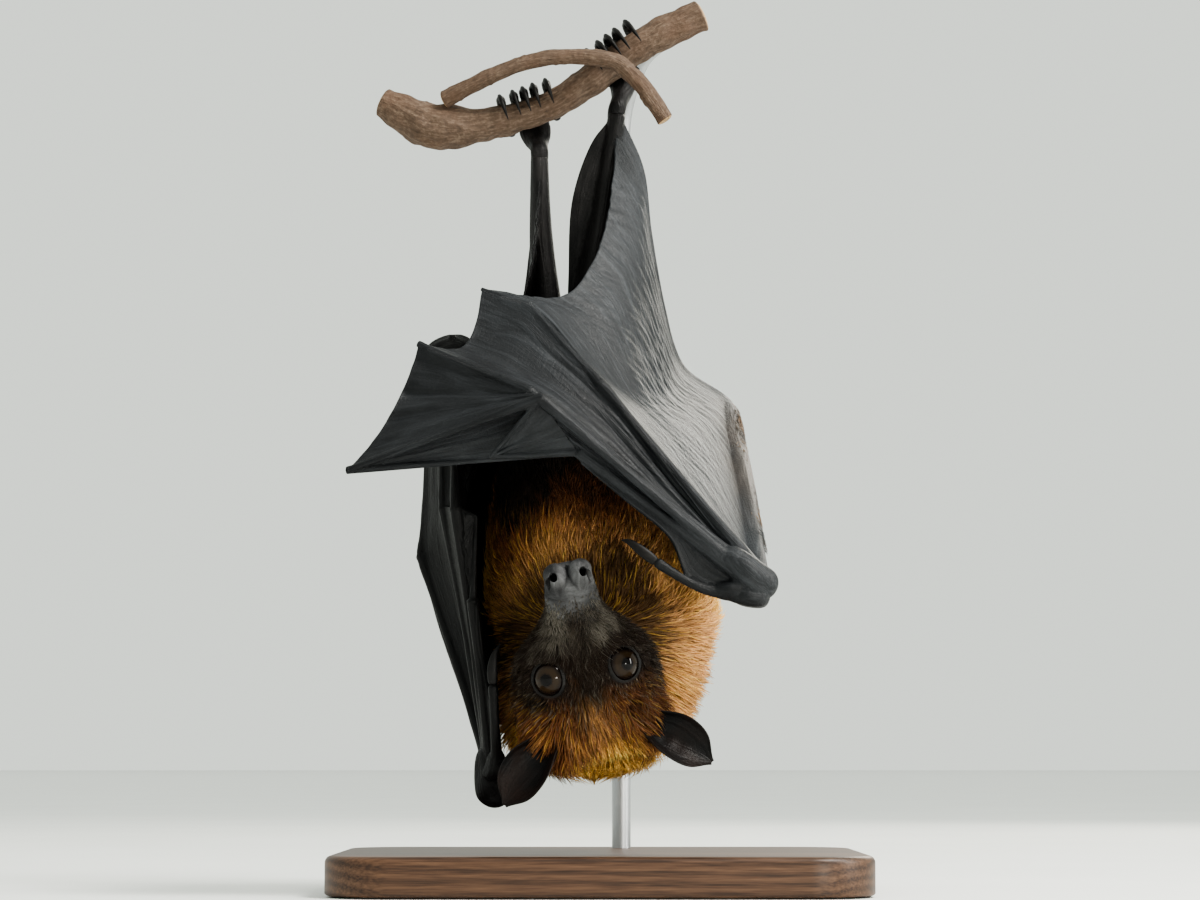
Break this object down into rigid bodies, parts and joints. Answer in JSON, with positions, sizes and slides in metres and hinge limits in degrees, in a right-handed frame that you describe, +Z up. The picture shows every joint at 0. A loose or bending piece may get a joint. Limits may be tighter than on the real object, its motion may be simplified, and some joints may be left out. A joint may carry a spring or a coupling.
{
  "type": "hanging fruit bat model",
  "caption": "Life-size fruit bat hanging head down by its feet from a cut branch on a plain display stand, wings folded round its body.",
  "frame": {"origin": "middle of the base's length on its underside, 66 mm behind the base's front edge", "axes": "+Z up; -Y the way the bat's belly and face look; +X towards the bat's right wing"},
  "size_m": [0.19, 0.1778, 0.3224],
  "materials": {
    "coat": "short dense fur, golden on neck and shoulders, dark brown on face, belly and back",
    "skin": "thin bare wing skin with a soft sheen over fingers and veins",
    "ear": "bare dark skin",
    "eye": "glossy dark brown",
    "claw": "polished black horn",
    "bark": "rough weathered bark",
    "base_wood": "satin dark stained wood",
    "rod_steel": "satin steel"
  },
  "bodies": {
    "root": {"head": "coat", "neck": "coat", "trunk": "coat", "ear_right": "ear", "ear_left": "ear", "eye_right": "eye", "eye_left": "eye", "leg_right": "skin", "leg_left": "skin", "foot_right": "skin", "foot_left": "skin", "thumb_right": "skin", "thumb_left": "skin", "thumb_claw_right": "claw", "thumb_claw_left": "claw", "hand_right": "skin", "hand_left": "skin", "arm_right": "skin", "arm_left": "skin", "perch_branch": "bark", "perch_twig": "bark", "stand_base": "base_wood", "stand_rod": "rod_steel"}
  },
  "joints": []
}
